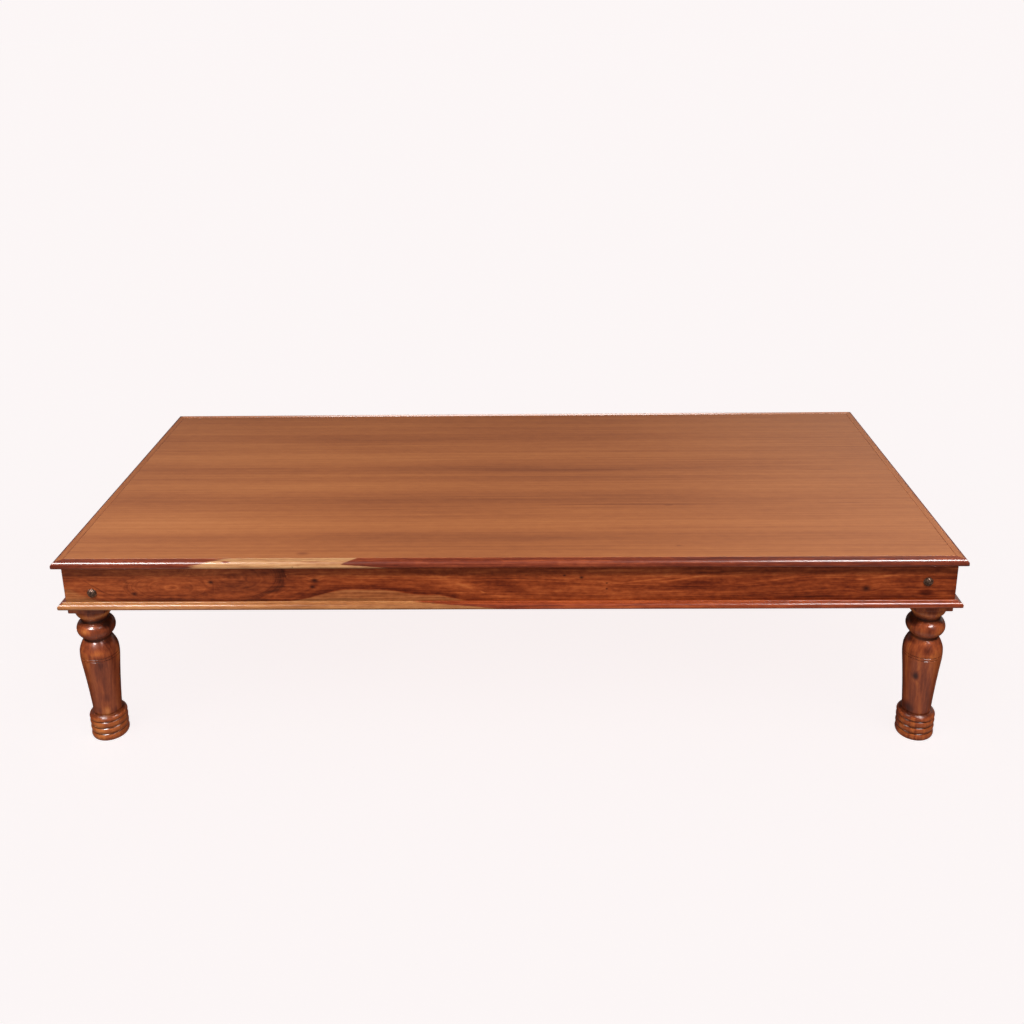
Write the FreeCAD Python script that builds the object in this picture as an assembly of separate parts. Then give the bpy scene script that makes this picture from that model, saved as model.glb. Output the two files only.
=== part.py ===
import FreeCAD, Part
import os
from math import cos, radians, sin
from FreeCAD import Vector

# Overall sizes. Length runs along X, depth along Y, and the feet stand on z = 0.
length = 1980.0
depth = 915.0
height = 465.0

# Top: a board with a solid rounded moulding mitred round it
top_thickness = 15.5
top_overhang = 16.0
top_moulding_width = 22.0
nose_drop_share = 0.68
corner_ease = 2.5
joint_chamfer = 0.6
tongue_thickness = 5.0
tongue_reach = 6.0
tongue_side_play = 0.1
tongue_end_play = 0.5

# Aprons, mitred at the corners
apron_height = 102.5
apron_thickness = 20.0
apron_ease = 3.0

# Lower moulding: a raised fillet and a half-round nose planted on the aprons
lower_moulding_height = 16.0
lower_moulding_reach = 14.5
fillet_width = 5.0
fillet_rise = 2.6
fillet_round = 1.8

# Leg blocks and posts
block_width = 82.0
block_setback = 1.0
block_drop = 15.0
block_ease = 2.0

# Turned part of a leg: radii and small sizes, and heights as shares of the turned height
cup_inset = 0.8
cup_lip_radius = 32.4
neck_radius = 30.6
ball_radius = 42.0
vase_radius = 42.8
vase_shoulder_radius = 42.0
vase_taper_radius = 42.1
taper_middle_radius = 35.7
ankle_radius = 31.2
foot_radius = 41.8
foot_base_radius = 39.6
foot_groove_depth = 3.6
ring_groove_width = 1.8
ring_groove_depth = 1.2
cup_shoulder_share = 0.979
cup_lip_share = 0.936
ball_top_share = 0.9
ball_middle_share = 0.839
ball_bottom_share = 0.782
vase_top_share = 0.757
vase_shoulder_share = 0.681
vase_widest_share = 0.624
vase_taper_share = 0.592
ankle_share = 0.187
foot_widest_share = 0.158
ring_groove_shares = (0.645, 0.6265)
foot_groove_shares = (0.048, 0.0945, 0.143)
flare_radius_share = 0.8
flare_height_share = 0.55
shoulder_bulge_share = 0.62

# Bearers, ledgers and end cleats under the board
bearer_width = 45.0
bearer_height = 60.0
bearer_play = 0.5
bearer_place_shares = (-0.3, -0.1, 0.1, 0.3)
cleat_width = 25.0
cleat_height = 25.0
ledger_end_gap = 30.0
end_cleat_end_gap = 12.0

# Dome-headed bolts that hold the legs, at two heights above the aprons' lower edge
bolt_inset = 62.0
low_bolt_rise = 37.0
high_bolt_rise = 59.0
bolt_radius = 4.0
bolt_hole_play = 0.5
bolt_head_radius = 10.5
bolt_head_height = 6.0
bolt_head_rim = 1.0
bolt_neck_width = 8.4
bolt_neck_length = 6.0
bolt_neck_play = 0.15
bolt_tail = 4.0
washer_radius = 10.0
washer_thickness = 1.6
nut_width = 13.0
nut_thickness = 6.5

# Countersunk wood screws
screw_radius = 2.0
screw_head_radius = 4.0
screw_head_height = 2.6
screw_tip = 5.0
screw_play = 0.1
panel_screw_length = 35.0
bearer_screw_length = 50.0
cleat_screw_length = 40.0
panel_screw_seat = 25.0
counterbore_radius = 5.5
bearer_screw_place_shares = (-0.35, 0.0, 0.35)
ledger_screw_place_shares = (-0.38, -0.2, 0.0, 0.2, 0.38)
end_cleat_screw_place_shares = (-0.4, 0.0, 0.4)
end_cleat_panel_screw_place_shares = (-0.2, 0.2)

# How far a cutter runs past what it cuts
overrun = 1.0

# Places that follow from the sizes. A leg's own frame stands on its axis, with its corner towards -X -Y.
board_bottom = height - top_thickness
apron_bottom = board_bottom - apron_height
turned_height = apron_bottom - block_drop
apron_inner_inset = top_overhang + apron_thickness
leg_axis_inset = top_overhang + block_setback + block_width / 2
post_inner_inset = top_overhang + block_setback + block_width
post_width = post_inner_inset - apron_inner_inset
frame_length = length - 2 * apron_inner_inset
frame_depth = depth - 2 * apron_inner_inset
ledger_top = board_bottom - bearer_height
apron_face = top_overhang - leg_axis_inset
bolt_cross = bolt_inset + apron_face
low_bolt_height = apron_bottom + low_bolt_rise
high_bolt_height = apron_bottom + high_bolt_rise
bolt_grip = apron_thickness + post_width
bolt_length = bolt_grip + washer_thickness + nut_thickness + bolt_tail

up = Vector(0, 0, 1)
origin = Vector(0, 0, 0)

# A side is its name, its turn about Z from the front, its run and its distance from the middle
sides = [
    ("front", 0, length, depth / 2),
    ("right", 90, depth, length / 2),
    ("back", 180, length, depth / 2),
    ("left", 270, depth, length / 2),
]

# A corner is its name, its turn about Z from the front left one, and the signs of its place
corners = [
    ("front_left", 0, -1, -1),
    ("front_right", 90, 1, -1),
    ("back_right", 180, 1, 1),
    ("back_left", 270, -1, 1),
]


def save(name, shape):
    if not shape.isValid():
        raise ValueError(name + " is not a valid shape")
    print(name, len(shape.Solids), "solids", round(shape.Volume / 1000.0, 1), "cm3")
    shape.exportStep("parts/" + name + ".step")


def box(x0, x1, y0, y1, z0, z1):
    return Part.makeBox(x1 - x0, y1 - y0, z1 - z0, Vector(x0, y0, z0))


def turned(shape, angle):
    copy = shape.copy()
    copy.rotate(origin, up, angle)
    return copy


def moved(shape, x, y, z):
    copy = shape.copy()
    copy.translate(Vector(x, y, z))
    return copy


def bend(centre, radius, start, end):
    """An arc step round a centre, as its middle and end points."""
    middle = radians((start + end) / 2)
    last = radians(end)
    return (
        centre[0] + radius * cos(middle),
        centre[1] + radius * sin(middle),
        centre[0] + radius * cos(last),
        centre[1] + radius * sin(last),
    )


def outlineFace(start, steps, place):
    """A face from a start point and steps: (a, b) is a line, (am, bm, a, b) an arc."""
    edges = []
    here = place(*start)
    for step in steps:
        there = place(*step[-2:])
        if len(step) == 4:
            edges.append(Part.Arc(here, place(*step[:2]), there).toShape())
        else:
            edges.append(Part.LineSegment(here, there).toShape())
        here = there
    return Part.Face(Part.Wire(edges))


def easedPlan(inset, ease, z0, z1):
    """A prism of the platform's plan, drawn in by an inset, with rounded corners."""
    half_x = length / 2 - inset
    half_y = depth / 2 - inset
    prism = box(-half_x, half_x, -half_y, half_y, z0, z1)
    middle = (z0 + z1) / 2
    uprights = [edge for edge in prism.Edges if abs(edge.CenterOfMass.z - middle) < ease / 2]
    return prism.makeFillet(ease, uprights)


def mitreWedge(run, middle, reach, z0, z1):
    """The room of one side, cut at 45 degrees from both nose corners, up to a reach inward."""
    half = run / 2
    points = [
        Vector(-half, -middle, z0),
        Vector(half, -middle, z0),
        Vector(half - reach, reach - middle, z0),
        Vector(reach - half, reach - middle, z0),
    ]
    plan = Part.Face(Part.makePolygon(points + points[:1]))
    return plan.extrude(Vector(0, 0, z1 - z0))


def mitredRail(side, start, steps, reach, limits):
    """A straight rail of one section on one side, mitred at both ends and eased at its corners."""
    name, angle, run, middle = side
    section = outlineFace(start, steps, lambda u, z: Vector(-run / 2, -middle + u, z))
    rail = section.extrude(Vector(run, 0, 0))
    bounds = rail.BoundBox
    wedge = mitreWedge(run, middle, reach, bounds.ZMin - overrun, bounds.ZMax + overrun)
    return turned(rail.common(wedge), angle).common(limits)


def topMoulding(side):
    low = board_bottom
    upper_round = nose_drop_share * top_thickness
    lower_round = top_thickness - upper_round
    nose = height - upper_round
    groove_top = low + (top_thickness + tongue_thickness) / 2 + tongue_side_play
    groove_low = low + (top_thickness - tongue_thickness) / 2 - tongue_side_play
    groove_end = top_moulding_width - tongue_reach - tongue_end_play
    start = (top_moulding_width, height - joint_chamfer)
    steps = [
        (top_moulding_width - joint_chamfer, height),
        (upper_round, height),
        bend((upper_round, nose), upper_round, 90, 180),
        bend((lower_round, nose), lower_round, 180, 270),
        (top_moulding_width, low),
        (top_moulding_width, groove_low),
        (groove_end, groove_low),
        (groove_end, groove_top),
        (top_moulding_width, groove_top),
        start,
    ]
    limits = easedPlan(0, corner_ease, low - overrun, height + overrun)
    return mitredRail(side, start, steps, top_moulding_width, limits)


def topPanel():
    half_x = length / 2 - top_moulding_width
    half_y = depth / 2 - top_moulding_width
    board = box(-half_x, half_x, -half_y, half_y, board_bottom, height)
    rim = [edge for edge in board.Edges if edge.CenterOfMass.z > height - joint_chamfer]
    board = board.makeChamfer(joint_chamfer, rim)
    reach_x = half_x + tongue_reach
    reach_y = half_y + tongue_reach
    low = board_bottom + (top_thickness - tongue_thickness) / 2
    tongue = box(-reach_x, reach_x, -reach_y, reach_y, low, low + tongue_thickness)
    return board.fuse(tongue).removeSplitter()


def apron(side):
    start = (top_overhang, apron_bottom)
    steps = [
        (apron_inner_inset, apron_bottom),
        (apron_inner_inset, board_bottom),
        (top_overhang, board_bottom),
        start,
    ]
    limits = easedPlan(top_overhang, apron_ease, apron_bottom - overrun, board_bottom + overrun)
    return mitredRail(side, start, steps, apron_inner_inset, limits)


def lowerMoulding(side):
    back = top_overhang
    low = apron_bottom
    top = low + lower_moulding_height
    shelf = top - fillet_rise
    nose_round = (lower_moulding_height - fillet_rise) / 2
    centre = (back - lower_moulding_reach + nose_round, low + nose_round)
    edge = back - fillet_width
    start = (back, low)
    steps = [
        (back, top),
        (edge + fillet_round, top),
        bend((edge + fillet_round, top - fillet_round), fillet_round, 90, 180),
        (edge, shelf),
        (centre[0], shelf),
        bend(centre, nose_round, 90, 180),
        bend(centre, nose_round, 180, 270),
        start,
    ]
    limits = easedPlan(back - lower_moulding_reach, corner_ease, low - overrun, top + overrun)
    rail = mitredRail(side, start, steps, back, limits)
    seat = easedPlan(top_overhang, apron_ease, low - overrun, top + overrun)
    return rail.cut(seat)


def between(low, high, share):
    return low + (high - low) * share


def footSteps():
    """The beads of the foot and the flare above them, up to the ankle."""
    groove = foot_radius - foot_groove_depth
    steps = [(foot_base_radius, 0)]
    below = 0
    for share in foot_groove_shares:
        level = share * turned_height
        steps.append((foot_radius, (below + level) / 2, groove, level))
        below = level
    widest = foot_widest_share * turned_height
    ankle = ankle_share * turned_height
    rise = between(groove, foot_radius, flare_radius_share)
    steps.append((rise, (below + widest) / 2, foot_radius, widest))
    flare = between(ankle_radius, foot_radius, flare_radius_share)
    steps.append((flare, between(widest, ankle, flare_height_share), ankle_radius, ankle))
    return steps


def vaseSteps():
    """The long taper, the rounded shoulder and the lower neck."""
    ankle = ankle_share * turned_height
    taper = vase_taper_share * turned_height
    widest = vase_widest_share * turned_height
    shoulder = vase_shoulder_share * turned_height
    top = vase_top_share * turned_height
    bulge = between(neck_radius, vase_shoulder_radius, shoulder_bulge_share)
    return [
        (taper_middle_radius, (ankle + taper) / 2, vase_taper_radius, taper),
        (vase_radius, widest, vase_shoulder_radius, shoulder),
        (bulge, (shoulder + top) / 2, neck_radius, top),
    ]


def ballAndCupSteps():
    """The ball, the upper neck and the cup that meets the square block."""
    lip = cup_lip_share * turned_height
    shoulder = cup_shoulder_share * turned_height
    cup_radius = block_width / 2 - cup_inset
    bulge = between(cup_lip_radius, cup_radius, flare_radius_share)
    return [
        (neck_radius, ball_bottom_share * turned_height),
        (ball_radius, ball_middle_share * turned_height, neck_radius, ball_top_share * turned_height),
        (neck_radius, lip - (cup_lip_radius - neck_radius)),
        (cup_lip_radius, lip),
        (bulge, (lip + shoulder) / 2, cup_radius, shoulder),
        (cup_radius, turned_height + overrun),
    ]


def ringGroove(level):
    radius = vase_radius + ring_groove_depth
    half = ring_groove_width
    start = (radius, level + half)
    steps = [
        (vase_radius - ring_groove_depth, level),
        (radius, level - half),
        start,
    ]
    face = outlineFace(start, steps, lambda r, z: Vector(r, 0, z))
    return face.revolve(origin, up, 360)


def turnedPart():
    top = (0, turned_height + overrun)
    steps = footSteps() + vaseSteps() + ballAndCupSteps() + [top, (0, 0)]
    face = outlineFace((0, 0), steps, lambda r, z: Vector(r, 0, z))
    body = face.revolve(origin, up, 360)
    for share in ring_groove_shares:
        body = body.cut(ringGroove(share * turned_height))
    return body


def legBlock():
    half = block_width / 2
    block = box(-half, half, -half, half, turned_height, apron_bottom)
    middle = (turned_height + apron_bottom) / 2
    lower = [edge for edge in block.Edges if min(v.Z for v in edge.Vertexes) < middle]
    return block.makeFillet(block_ease, lower)


def legPost():
    inner = block_width / 2
    outer = inner - post_width
    return box(outer, inner, outer, inner, apron_bottom - overrun, board_bottom)


def leg():
    """The front left leg, standing on its own axis, its outer faces towards -X and -Y."""
    body = turnedPart().fuse(legBlock()).fuse(legPost()).removeSplitter()
    for hole in cornerBoltHoles():
        body = body.cut(hole)
    return body


def alongY(shape, level):
    """A fixing of the lower bolt: modelled along +Z from its apron's outer face, laid along +Y."""
    copy = shape.copy()
    copy.rotate(origin, Vector(1, 0, 0), -90)
    return moved(copy, bolt_cross, apron_face, level)


def alongX(shape, level):
    """The same for the upper bolt of the corner, laid along +X."""
    copy = shape.copy()
    copy.rotate(origin, Vector(0, 1, 0), 90)
    return moved(copy, apron_face, bolt_cross, level)


def pairAtCorner(shape):
    return [alongY(shape, low_bolt_height), alongX(shape, high_bolt_height)]


def bolt():
    rim = bolt_head_rim
    start = (0, -bolt_head_height)
    crown = bolt_head_height - rim
    side = bolt_head_radius * cos(radians(45))
    lift = rim + crown * sin(radians(45))
    steps = [
        (side, -lift, bolt_head_radius, -rim),
        (bolt_head_radius, 0),
        (bolt_radius, 0),
        (bolt_radius, bolt_length - rim),
        (bolt_radius - rim, bolt_length),
        (0, bolt_length),
        start,
    ]
    face = outlineFace(start, steps, lambda r, z: Vector(r, 0, z))
    half = bolt_neck_width / 2
    neck = box(-half, half, -half, half, 0, bolt_neck_length)
    return face.revolve(origin, up, 360).fuse(neck).removeSplitter()


def boltHole():
    hole = Part.makeCylinder(bolt_radius + bolt_hole_play, bolt_length + overrun, Vector(0, 0, -overrun))
    half = bolt_neck_width / 2 + bolt_neck_play
    return hole.fuse(box(-half, half, -half, half, -overrun, bolt_neck_length + bolt_neck_play))


def washer():
    disc = Part.makeCylinder(washer_radius, washer_thickness, Vector(0, 0, bolt_grip))
    return disc.cut(boltHole())


def nut():
    seat = bolt_grip + washer_thickness
    corner = nut_width / 2 / cos(radians(30))
    points = [
        Vector(corner * cos(radians(60 * k)), corner * sin(radians(60 * k)), seat) for k in range(6)
    ]
    prism = Part.Face(Part.makePolygon(points + points[:1])).extrude(Vector(0, 0, nut_thickness))
    bore_length = nut_thickness + 2 * overrun
    bore = Part.makeCylinder(bolt_radius + screw_play, bore_length, Vector(0, 0, seat - overrun))
    return prism.cut(bore)


def cornerBoltHoles():
    return pairAtCorner(boltHole())


def atCorner(corner, shape):
    name, angle, sign_x, sign_y = corner
    x = sign_x * (length / 2 - leg_axis_inset)
    y = sign_y * (depth / 2 - leg_axis_inset)
    return moved(turned(shape, angle), x, y, 0)


def screw(long, play):
    """A countersunk screw along +Z from its head's face at z = 0; play swells it into its hole."""
    start = (0, 0)
    steps = [
        (screw_head_radius + play, 0),
        (screw_radius + play, screw_head_height),
        (screw_radius + play, long - screw_tip),
        (0, long),
        start,
    ]
    face = outlineFace(start, steps, lambda r, z: Vector(r, 0, z))
    return face.revolve(origin, up, 360)


def upright(long, play, x, y, z):
    return moved(screw(long, play), x, y, z)


def sideways(long, play, x, y, z, angle):
    """A screw that points towards the front before it is turned about its own place."""
    flat = screw(long, play)
    flat.rotate(origin, Vector(1, 0, 0), 90)
    return moved(turned(flat, angle), x, y, z)


def bearerPlaces():
    return [share * length for share in bearer_place_shares]


def panelScrews(play):
    level = board_bottom - panel_screw_seat
    places = []
    for x in bearerPlaces():
        places += [(x, share * frame_depth) for share in bearer_screw_place_shares]
    inset = frame_length / 2 - cleat_width / 2
    for share in end_cleat_panel_screw_place_shares:
        places += [(-inset, share * frame_depth), (inset, share * frame_depth)]
    return [upright(panel_screw_length, play, x, y, level) for x, y in places]


def bearerScrews(play):
    inset = frame_depth / 2 - cleat_width / 2
    level = ledger_top - cleat_height
    return [
        upright(bearer_screw_length, play, x, y, level)
        for x in bearerPlaces()
        for y in (-inset, inset)
    ]


def cleatScrews(play):
    inset_y = frame_depth / 2 - cleat_width
    inset_x = frame_length / 2 - cleat_width
    low = ledger_top - cleat_height / 2
    high = board_bottom - cleat_height / 2
    screws = []
    for share in ledger_screw_place_shares:
        screws.append(sideways(cleat_screw_length, play, share * length, -inset_y, low, 0))
        screws.append(sideways(cleat_screw_length, play, share * length, inset_y, low, 180))
    for share in end_cleat_screw_place_shares:
        span = frame_depth - 2 * post_width
        screws.append(sideways(cleat_screw_length, play, inset_x, share * span, high, 90))
        screws.append(sideways(cleat_screw_length, play, -inset_x, share * span, high, 270))
    return screws


def bearer(x):
    half_y = frame_depth / 2 - bearer_play
    half_x = bearer_width / 2
    body = box(x - half_x, x + half_x, -half_y, half_y, ledger_top, board_bottom)
    deep = bearer_height - panel_screw_seat + overrun
    for share in bearer_screw_place_shares:
        foot = Vector(x, share * frame_depth, ledger_top - overrun)
        body = body.cut(Part.makeCylinder(counterbore_radius, deep, foot))
    return body


def ledger(sign):
    half_x = frame_length / 2 - post_width - ledger_end_gap
    outer = frame_depth / 2
    edges = sorted((sign * outer, sign * (outer - cleat_width)))
    return box(-half_x, half_x, edges[0], edges[1], ledger_top - cleat_height, ledger_top)


def endCleat(sign):
    half_y = frame_depth / 2 - post_width - end_cleat_end_gap
    outer = frame_length / 2
    edges = sorted((sign * outer, sign * (outer - cleat_width)))
    return box(edges[0], edges[1], -half_y, half_y, board_bottom - cleat_height, board_bottom)


def drilled(shape, holes):
    """A piece with the holes of those screws that reach it."""
    for hole in holes:
        if shape.BoundBox.intersect(hole.BoundBox):
            shape = shape.cut(hole)
    return shape


os.makedirs("parts", exist_ok=True)

screw_holes = panelScrews(screw_play) + bearerScrews(screw_play) + cleatScrews(screw_play)
bolt_holes = [atCorner(corner, hole) for corner in corners for hole in cornerBoltHoles()]

save("top_panel", drilled(topPanel(), screw_holes))

for side in sides:
    save("top_moulding_" + side[0], topMoulding(side))
    save("apron_" + side[0], drilled(apron(side), screw_holes + bolt_holes))
    save("lower_moulding_" + side[0], lowerMoulding(side))

standing_leg = leg()
for corner in corners:
    save("leg_" + corner[0], atCorner(corner, standing_leg))
    fixings = {"bolts": bolt(), "washers": washer(), "nuts": nut()}
    for kind, piece in fixings.items():
        pair = [atCorner(corner, copy) for copy in pairAtCorner(piece)]
        save("leg_" + kind + "_" + corner[0], Part.makeCompound(pair))

for number, x in enumerate(bearerPlaces(), start=1):
    save("bearer_" + str(number), drilled(bearer(x), screw_holes))

save("ledger_front", drilled(ledger(-1), screw_holes))
save("ledger_back", drilled(ledger(1), screw_holes))
save("end_cleat_left", drilled(endCleat(-1), screw_holes))
save("end_cleat_right", drilled(endCleat(1), screw_holes))

save("panel_screws", Part.makeCompound(panelScrews(0)))
save("bearer_screws", Part.makeCompound(bearerScrews(0)))
save("cleat_screws", Part.makeCompound(cleatScrews(0)))
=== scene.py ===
from math import pi, radians

import bpy
from mathutils import Matrix, Vector

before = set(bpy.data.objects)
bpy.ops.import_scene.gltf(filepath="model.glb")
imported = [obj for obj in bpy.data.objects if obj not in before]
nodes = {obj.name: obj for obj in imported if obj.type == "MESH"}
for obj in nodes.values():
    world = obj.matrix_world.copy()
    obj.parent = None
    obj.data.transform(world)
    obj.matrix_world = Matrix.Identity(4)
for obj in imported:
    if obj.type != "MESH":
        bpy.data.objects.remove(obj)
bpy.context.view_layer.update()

bpy.ops.object.select_all(action="DESELECT")
print("frame loaded:", len(nodes), "nodes")


# Camera: the lens and place that line the platform up with the photo
view = {
    "focalPixels": 1092.29,
    "imagePixels": 1024,
    "sensorWidth": 36.0,
    "middleRow": 353.3,
    "yaw": 1.316,
    "pitch": -17.302,
    "roll": 0.836,
    "place": (0.06899, -2.56184, 1.59027),
    "clipEnd": 100.0,
}


def addCamera():
    data = bpy.data.cameras.new("camera")
    data.sensor_width = view["sensorWidth"]
    data.lens = view["focalPixels"] / view["imagePixels"] * view["sensorWidth"]
    data.shift_y = view["middleRow"] / view["imagePixels"] - 0.5
    data.clip_end = view["clipEnd"]
    camera = bpy.data.objects.new("camera", data)
    turn = Matrix.Rotation(radians(view["yaw"]), 4, "Z")
    turn = turn @ Matrix.Rotation(radians(view["pitch"]), 4, "X")
    turn = turn @ Matrix.Rotation(radians(view["roll"]), 4, "Y")
    turn = turn @ Matrix.Rotation(pi / 2, 4, "X")
    camera.matrix_world = Matrix.Translation(view["place"]) @ turn
    bpy.context.scene.collection.objects.link(camera)
    bpy.context.scene.camera = camera


addCamera()
print("camera placed")


# Shader maths as Python sums
class Shade:
    # wraps one socket; operators add Math nodes, and node() adds any other
    def __init__(self, tree, socket=None):
        self.tree = tree
        self.socket = socket

    def node(self, kind, settings=None, inputs=None, output=0):
        made = self.tree.nodes.new(kind)
        for name, value in (settings or {}).items():
            if name == "stops":
                elements = made.color_ramp.elements
                while len(elements) < len(value):
                    elements.new(1.0)
                for element, (place, colour) in zip(elements, value):
                    element.position = place
                    element.color = colour
            else:
                setattr(made, name, value)
        for name, value in (inputs or {}).items():
            if isinstance(value, Shade):
                self.tree.links.new(value.socket, made.inputs[name])
            else:
                made.inputs[name].default_value = value
        return Shade(self.tree, made.outputs[output] if len(made.outputs) else None)

    def sum(self, operation, first, second):
        return self.node("ShaderNodeMath", {"operation": operation}, {0: first, 1: second})

    def __add__(self, other):
        return self.sum("ADD", self, other)

    def __radd__(self, other):
        return self.sum("ADD", other, self)

    def __sub__(self, other):
        return self.sum("SUBTRACT", self, other)

    def __rsub__(self, other):
        return self.sum("SUBTRACT", other, self)

    def __mul__(self, other):
        return self.sum("MULTIPLY", self, other)

    def __truediv__(self, other):
        return self.sum("DIVIDE", self, other)


def smooth(value, low, high, first=0.0, last=1.0):
    # a soft step from first to last as the value goes from low to high
    inputs = {"Value": value, "From Min": low, "From Max": high, "To Min": first, "To Max": last}
    return value.node("ShaderNodeMapRange", {"interpolation_type": "SMOOTHSTEP"}, inputs)


def larger(first, second):
    return first.sum("MAXIMUM", first, second)


def absolute(value):
    return value.sum("ABSOLUTE", value, 0.0)


def stretched(place, scale, shift=(0, 0, 0)):
    inputs = {0: place, 1: scale, 2: shift}
    return place.node("ShaderNodeVectorMath", {"operation": "MULTIPLY_ADD"}, inputs)


def noise(place, scale, detail=2.0, rough=0.5, shift=(0, 0, 0)):
    inputs = {"Scale": 1.0, "Detail": detail, "Roughness": rough}
    inputs["Vector"] = stretched(place, scale, shift)
    return place.node("ShaderNodeTexNoise", {"noise_dimensions": "3D"}, inputs)


def lineNoise(value, detail=2.0, rough=0.5):
    inputs = {"W": value, "Scale": 1.0, "Detail": detail, "Roughness": rough}
    return value.node("ShaderNodeTexNoise", {"noise_dimensions": "1D"}, inputs)


def spot(place, centre, reach, height=1.0):
    # the height at the centre, falling softly to 0 at the reach along each axis
    scale = [1 / r for r in reach]
    shift = [-c / r for c, r in zip(centre, reach)]
    return smooth(distance(stretched(place, scale, shift)), 0.0, 1.0, height, 0.0)


def distance(place):
    return place.node("ShaderNodeVectorMath", {"operation": "LENGTH"}, {0: place}, "Value")


def axis(place, name):
    return place.node("ShaderNodeSeparateXYZ", {}, {0: place}, name)


def spread(x, z, middleX, middleZ, reachX, reachZ, slope=0.0):
    # how far off a sloping ellipse's middle, 1 at its rim
    right = (x - middleX) / reachX
    risen = (z - middleZ - (x - middleX) * slope) / reachZ
    return distance(x.node("ShaderNodeCombineXYZ", {}, {0: right, 1: risen}))


def mixed(factor, first, second):
    # sockets 6 and 7 take the node's colours, and output 2 gives the mixed one
    return factor.node("ShaderNodeMix", {"data_type": "RGBA"}, {0: factor, 6: first, 7: second}, 2)


def ramp(value, stops):
    return value.node("ShaderNodeValToRGB", {"stops": stops}, {"Fac": value})


def paint(red, green, blue):
    # an 8-bit screen colour as a linear one
    linear = []
    for part in (red / 255, green / 255, blue / 255):
        linear.append(part / 12.92 if part <= 0.04045 else ((part + 0.055) / 1.055) ** 2.4)
    return (*linear, 1.0)


def newMaterial(name):
    material = bpy.data.materials.new(name)
    material.use_nodes = True
    material.node_tree.nodes.clear()
    start = Shade(material.node_tree)
    place = start.node("ShaderNodeTexCoord", output="Object")
    return material, place


def finishMaterial(place, surface):
    place.node("ShaderNodeOutputMaterial", {}, {"Surface": surface})


# Room: a pale floor and backdrop that fill the shadows softly, and a dim studio for reflections
room = {
    # a turn is the part of a direction's X or Y over which one colour gives way to the next
    "shown": (0.975, 0.925, 0.925, 1.0),
    "fillFront": (0.42, 0.40, 0.38, 1.0),
    "fillBack": (0.10, 0.095, 0.09, 1.0),
    "fillTurn": (-0.75, 0.15),
    "backShare": 0.684,
    "mirrored": (0.012, 0.012, 0.012, 1.0),
    "mirroredBehind": (0.11, 0.12, 0.16, 1.0),
    "mirroredRight": (0.60, 0.56, 0.52, 1.0),
    "mirroredLeft": (0.22, 0.22, 0.24, 1.0),
    "behindTurn": (0.85, 0.95),
    "sidesTurn": (0.2, 0.6),
    "rightTurn": (0.05, 0.32),
    "leftTurn": (0.15, 0.4),
    "floorSize": 160.0,
    "floorShade": 0.45,
    "floorBounceFront": (0.72, 0.68, 0.66, 1.0),
    "floorBounceUnder": (0.32, 0.28, 0.26, 1.0),
    "underEdge": (-0.9, -0.4),
    "floorMirrored": (0.012, 0.011, 0.010, 1.0),
    "legGlow": (0.36, 0.32, 0.31, 1.0),
    "legGlowPlace": (0.86, -0.62),
    "legGlowReach": (0.42, 0.30),
    "legGlowEdge": (0.4, 1.0),
    "leftGlow": (0.30, 0.28, 0.28, 1.0),
    "leftGlowPlace": (-1.15, -1.25),
    "leftGlowReach": (0.75, 0.50),
    "leftGlowEdge": (0.3, 1.0),
}

# Lamps: keys for matt light, strips and glints for reflections, and one for the back pieces
lights = {
    "keyLeft": {
        "place": (-1.8, -1.75, 2.95),
        "aim": (-1.0, -0.5, 0.45),
        "size": (1.1, 0.45),
        "power": 88.0,
        "lights": "matt",
    },
    "keyRight": {
        "place": (1.7, -1.75, 2.95),
        "aim": (1.0, -0.5, 0.45),
        "size": (1.1, 0.45),
        "power": 88.0,
        "lights": "matt",
    },
    "keyBack": {
        "place": (0.0, 3.4, 1.9),
        "aim": (0.0, 0.45, 0.3),
        "size": (2.4, 0.8),
        "power": 80.0,
        "lights": "all",
        "only": (
            "apron_back",
            "lower_moulding_back",
            "top_moulding_back",
            "leg_back_left",
            "leg_back_right",
            "leg_bolts_back_left",
            "leg_bolts_back_right",
        ),
    },
    "stripLeft": {
        "place": (-1.85, -0.95, 2.95),
        "aim": (-1.3, -0.5, 0.45),
        "size": (1.1, 0.65),
        "power": 70.0,
        "lights": "glossy",
    },
    "stripRight": {
        "place": (1.65, -0.95, 2.95),
        "aim": (1.3, -0.5, 0.45),
        "size": (1.1, 0.6),
        "power": 78.0,
        "lights": "glossy",
    },
    "glintLeft": {
        "place": (-1.55, -3.1, 2.7),
        "aim": (-0.93, -0.4, 0.3),
        "size": (0.8, 0.5),
        "power": 25.0,
        "cone": 55.0,
        "lights": "glossy",
        "only": ("leg_front_left", "leg_back_left", "leg_bolts_front_left"),
    },
    "glintRight": {
        "place": (1.9, -2.9, 2.7),
        "aim": (0.93, -0.4, 0.3),
        "size": (1.1, 0.8),
        "power": 9.0,
        "cone": 55.0,
        "lights": "glossy",
        "only": (
            "leg_front_left",
            "leg_front_right",
            "leg_back_right",
            "leg_bolts_front_right",
        ),
    },
}


def seenBy(start, kind, matt, glossy, shown):
    # what the camera sees, what reflections see and what lights the object
    camera = start.node("ShaderNodeLightPath", output="Is Camera Ray")
    mirror = start.node("ShaderNodeLightPath", output="Is Glossy Ray")
    inner = start.node("ShaderNodeMixShader", {}, {0: mirror, 1: matt, 2: glossy})
    both = start.node("ShaderNodeMixShader", {}, {0: camera, 1: inner, 2: shown})
    start.node(kind, {}, {"Surface": both})


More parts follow.
